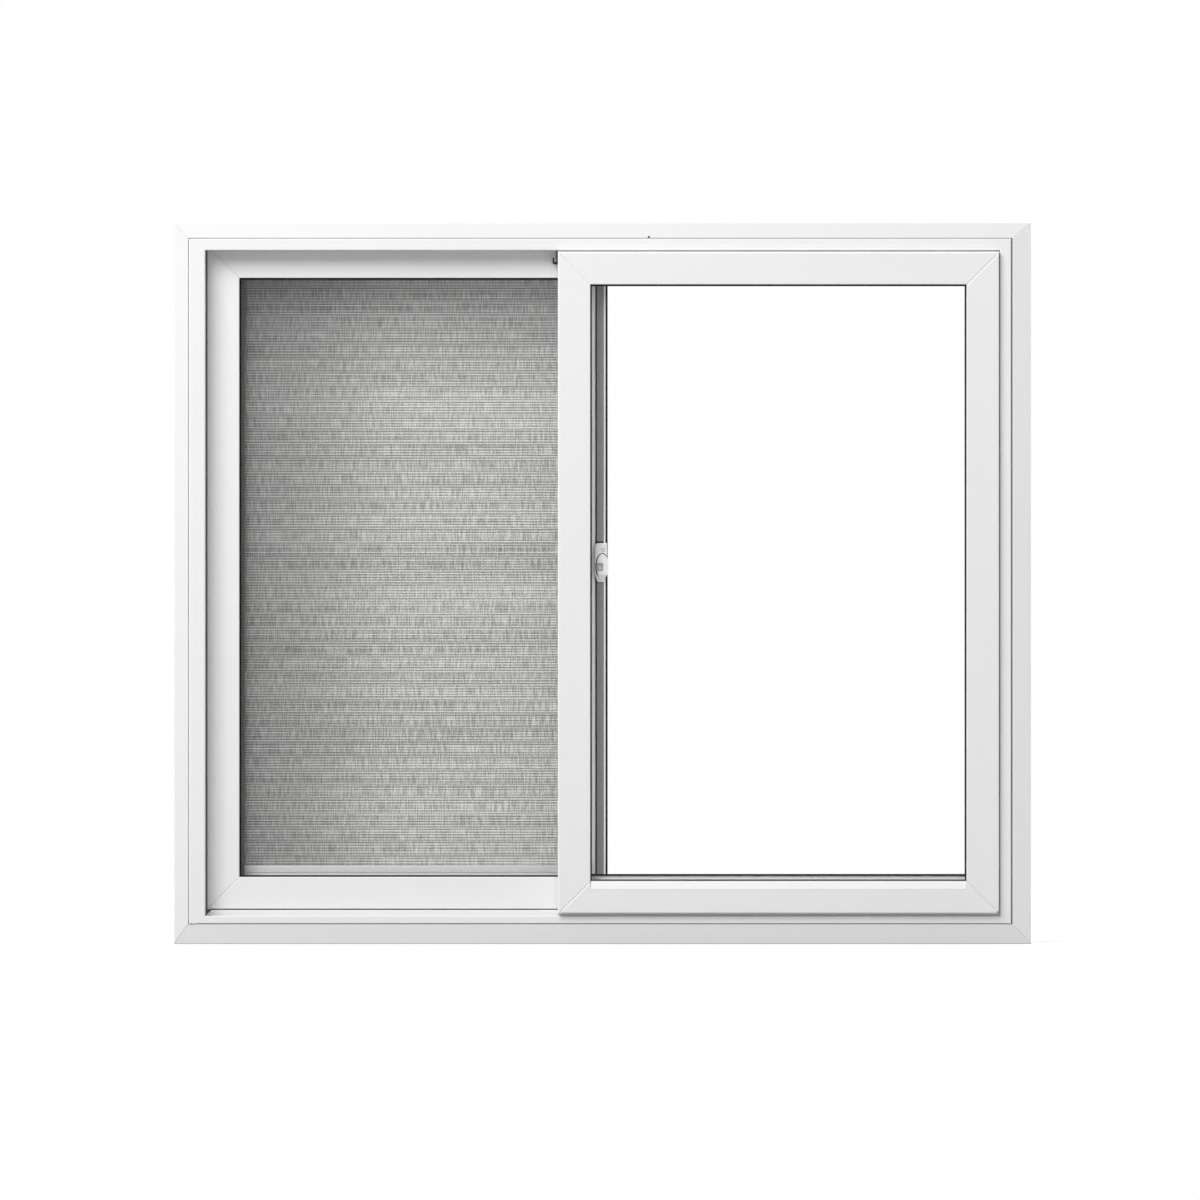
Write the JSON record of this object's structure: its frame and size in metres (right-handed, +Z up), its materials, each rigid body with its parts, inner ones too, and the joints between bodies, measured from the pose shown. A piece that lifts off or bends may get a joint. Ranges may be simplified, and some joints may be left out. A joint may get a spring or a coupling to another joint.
{
  "type": "horizontal sliding window",
  "caption": "White plastic sliding window in a mitred casing, with sealed glass, a latch at the meeting stiles and a grey roller blind behind the rear sash.",
  "frame": {"origin": "on the floor, below the middle of the window's bounding box", "axes": "+X to the right as one looks at the front, +Y from the front to the back, +Z up"},
  "size_m": [1.2, 0.1, 1.01],
  "materials": {
    "white_upvc": "satin extruded",
    "black_rubber": "matt extruded",
    "clear_glass": "clear float",
    "spacer_aluminium": "mill",
    "roller_nylon": "moulded",
    "black_plastic": "moulded",
    "grey_strip": "matt extruded",
    "latch_white": "moulded gloss",
    "blind_aluminium": "white powder coat",
    "blind_plastic": "moulded",
    "grey_cloth": "slub weave"
  },
  "bodies": {
    "root": {"blind_cassette": "blind_aluminium", "blind_cloth": "grey_cloth", "blind_end_caps": "blind_plastic", "blind_hem_bar": "blind_aluminium", "blind_side_guides": "blind_aluminium", "casing_head": "white_upvc", "casing_jamb_left": "white_upvc", "casing_jamb_right": "white_upvc", "casing_sill": "white_upvc", "frame_head": "white_upvc", "frame_jamb_left": "white_upvc", "frame_jamb_right": "white_upvc", "frame_sill": "white_upvc", "front_sash_back_gasket": "black_rubber", "front_sash_back_pane": "clear_glass", "front_sash_bottom_rail": "white_upvc", "front_sash_front_gasket": "black_rubber", "front_sash_front_pane": "clear_glass", "front_sash_hooked_cap": "black_plastic", "front_sash_level_beads": "white_upvc", "front_sash_meeting_stile": "white_upvc", "front_sash_outer_stile": "white_upvc", "front_sash_rollers": "roller_nylon", "front_sash_spacer": "spacer_aluminium", "front_sash_top_rail": "white_upvc", "front_sash_upright_beads": "white_upvc", "front_sash_weather_bead": "white_upvc", "latch_body": "latch_white", "latch_pad": "black_rubber", "latch_turn": "latch_white", "meeting_interlock": "white_upvc", "meeting_seal": "black_rubber", "meeting_strip": "grey_strip", "rear_sash_back_gasket": "black_rubber", "rear_sash_back_pane": "clear_glass", "rear_sash_bottom_rail": "white_upvc", "rear_sash_front_gasket": "black_rubber", "rear_sash_front_pane": "clear_glass", "rear_sash_level_beads": "white_upvc", "rear_sash_meeting_stile": "white_upvc", "rear_sash_outer_stile": "white_upvc", "rear_sash_rollers": "roller_nylon", "rear_sash_spacer": "spacer_aluminium", "rear_sash_top_rail": "white_upvc", "rear_sash_upright_beads": "white_upvc"}
  },
  "joints": []
}
